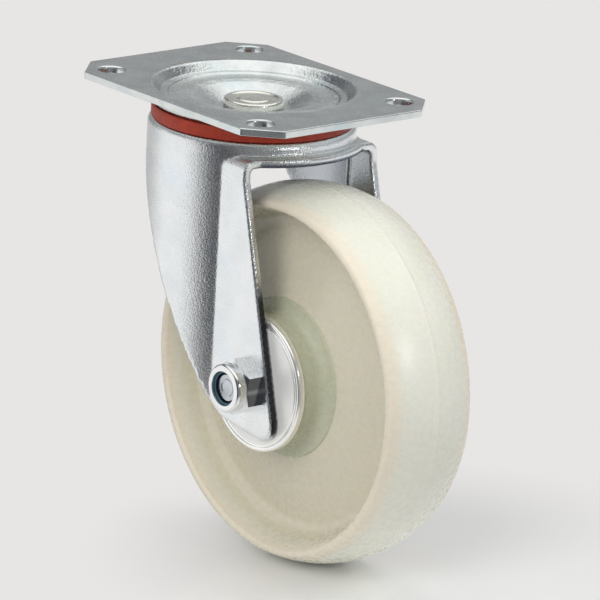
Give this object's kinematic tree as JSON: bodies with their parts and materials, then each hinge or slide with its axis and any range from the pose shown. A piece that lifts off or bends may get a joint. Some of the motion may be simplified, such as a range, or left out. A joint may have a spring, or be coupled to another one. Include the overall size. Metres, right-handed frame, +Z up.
{
  "type": "swivel castor",
  "caption": "Swivel castor with a bolted top plate, a pressed-steel fork on a ball-bearing swivel head and a solid polyamide wheel on a roller bearing.",
  "frame": {"origin": "centre of the top plate's upper face, on the swivel axis", "axes": "+Z up out of the top plate along the swivel axis, +X along the plate to the side the wheel trails on, -Y to the side of the lock nut"},
  "size_m": [0.1562, 0.08, 0.1557],
  "materials": {
    "zinc_plate": "bright zinc-plated pressed steel",
    "zinc_fork": "bright zinc-plated pressed steel with a fine orange-peel grain",
    "rivet_steel": "zinc-plated, riveted head",
    "ball_steel": "polished and greased",
    "seal_red": "satin moulded plastic",
    "polyamide": "satin natural polyamide, slightly translucent",
    "disc_steel": "bright zinc-plated drawn steel",
    "tube_steel": "ground steel",
    "cage_nylon": "moulded cage",
    "bolt_steel": "bright zinc-plated fasteners",
    "insert_nylon": "dark moulded ring"
  },
  "bodies": {
    "plate": {"top_plate": "zinc_plate", "king_pin": "rivet_steel", "lower_race": "zinc_plate"},
    "upper_ball_ring": {"upper_balls": "ball_steel"},
    "lower_ball_ring": {"lower_balls": "ball_steel"},
    "swivel_fork": {"fork": "zinc_fork", "dust_seal": "seal_red", "axle_tube": "tube_steel", "axle_bolt": "bolt_steel", "lock_nut": "bolt_steel", "nut_insert": "insert_nylon"},
    "bearing": {"roller_cage": "cage_nylon", "rollers": "tube_steel"},
    "rolling_wheel": {"wheel": "polyamide", "hub_disc_near": "disc_steel", "hub_disc_far": "disc_steel"}
  },
  "joints": [
    {"name": "swivel", "type": "hinge", "parent": "plate", "child": "swivel_fork", "pos_m": [0, 0, 0], "axis": [0, 0, 1], "continuous": true},
    {"name": "wheel_spin", "type": "hinge", "parent": "swivel_fork", "child": "rolling_wheel", "pos_m": [0.0385, 0, -0.0905], "axis": [0, 1, 0], "continuous": true},
    {"name": "upper_ball_orbit", "type": "hinge", "parent": "plate", "child": "upper_ball_ring", "pos_m": [0, 0, 0], "axis": [0, 0, 1], "continuous": true},
    {"name": "lower_ball_orbit", "type": "hinge", "parent": "plate", "child": "lower_ball_ring", "pos_m": [0, 0, 0], "axis": [0, 0, 1], "continuous": true},
    {"name": "cage_orbit", "type": "hinge", "parent": "swivel_fork", "child": "bearing", "pos_m": [0.0385, 0, -0.0905], "axis": [0, 1, 0], "continuous": true}
  ],
  "couplings": [
    {"joint": "upper_ball_orbit", "follows": "swivel", "ratio": 0.5},
    {"joint": "lower_ball_orbit", "follows": "swivel", "ratio": 0.5},
    {"joint": "cage_orbit", "follows": "wheel_spin", "ratio": 0.5714}
  ]
}
